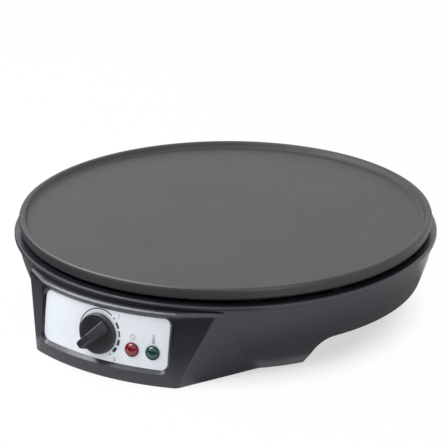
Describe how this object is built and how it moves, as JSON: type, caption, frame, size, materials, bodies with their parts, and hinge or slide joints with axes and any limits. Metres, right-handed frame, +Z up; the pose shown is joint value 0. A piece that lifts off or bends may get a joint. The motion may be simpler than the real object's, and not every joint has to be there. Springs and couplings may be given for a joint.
{
  "type": "electric crepe maker",
  "caption": "Electric crepe maker: round non-stick plate with a shallow rim on a low black base, with a front pod that carries a thermostat knob and lamps.",
  "frame": {"origin": "on the table top, under the middle of the whole footprint (the plate's axis is 11 mm behind it)", "axes": "+Z up, -Y towards the control pod and the user, +X to the user's right"},
  "size_m": [0.33, 0.352, 0.0735],
  "materials": {
    "base_plastic": "satin black moulding",
    "cover_plastic": "matt black moulding",
    "nonstick": "dark non-stick coating on cast metal",
    "panel_metal": "fine satin silver, printed",
    "knob_plastic": "satin black",
    "red_jewel": "clear red",
    "green_jewel": "clear green",
    "foot_rubber": "matt",
    "zinc_steel": "zinc plated",
    "tube_steel": "heat-toned steel",
    "reflector_metal": "aluminised sheet",
    "ceramic": "unglazed",
    "phenolic": "moulded thermostat case",
    "copper_tube": "bare copper",
    "brass_parts": "bare brass",
    "nylon_white": "natural nylon",
    "bush_plastic": "black nylon",
    "neon_glass": "clear lamp tube",
    "lead_brown": "silicone sleeve",
    "lead_blue": "silicone sleeve",
    "lead_black": "silicone sleeve",
    "lead_earth": "green and yellow sleeve"
  },
  "bodies": {
    "base": {"base_shell": "base_plastic", "control_panel": "panel_metal", "bottom_cover": "cover_plastic", "cooking_plate": "nonstick", "heating_element": "tube_steel", "element_pins": "zinc_steel", "element_clamps": "zinc_steel", "clamp_screws": "zinc_steel", "heat_reflector": "reflector_metal", "plate_screws": "zinc_steel", "thermostat_bracket": "zinc_steel", "thermostat_body": "phenolic", "thermostat_screws": "zinc_steel", "capillary_tube": "copper_tube", "sensor_bulb": "copper_tube", "bulb_clip": "zinc_steel", "bulb_clip_screws": "zinc_steel", "rubber_feet": "foot_rubber", "cover_screws": "zinc_steel", "inlet_bush": "bush_plastic", "terminal_block": "nylon_white", "terminal_parts": "brass_parts", "block_screws": "zinc_steel", "cord_clamp": "bush_plastic", "cord_clamp_screws": "zinc_steel", "red_lens": "red_jewel", "green_lens": "green_jewel", "neon_lamps": "neon_glass", "lamp_retainers": "zinc_steel", "lead_terminals": "nylon_white", "thermal_fuse": "ceramic", "fuse_clip": "zinc_steel", "fuse_screws": "zinc_steel", "live_lead": "lead_brown", "neutral_lead": "lead_blue", "switched_lead": "lead_black", "fuse_lead": "lead_black", "earth_lead": "lead_earth", "earth_lug": "brass_parts", "earth_screw": "zinc_steel", "lamp_leads": "lead_black", "splice_cap": "nylon_white"},
    "knob": {"knob": "knob_plastic", "thermostat_shaft": "zinc_steel", "knob_spring": "zinc_steel"}
  },
  "joints": [
    {"name": "knob_turn", "type": "hinge", "parent": "base", "child": "knob", "pos_m": [0, -0.16481, 0.035], "axis": [0, 0.9869, -0.1611], "range_deg": [0, 270]}
  ]
}
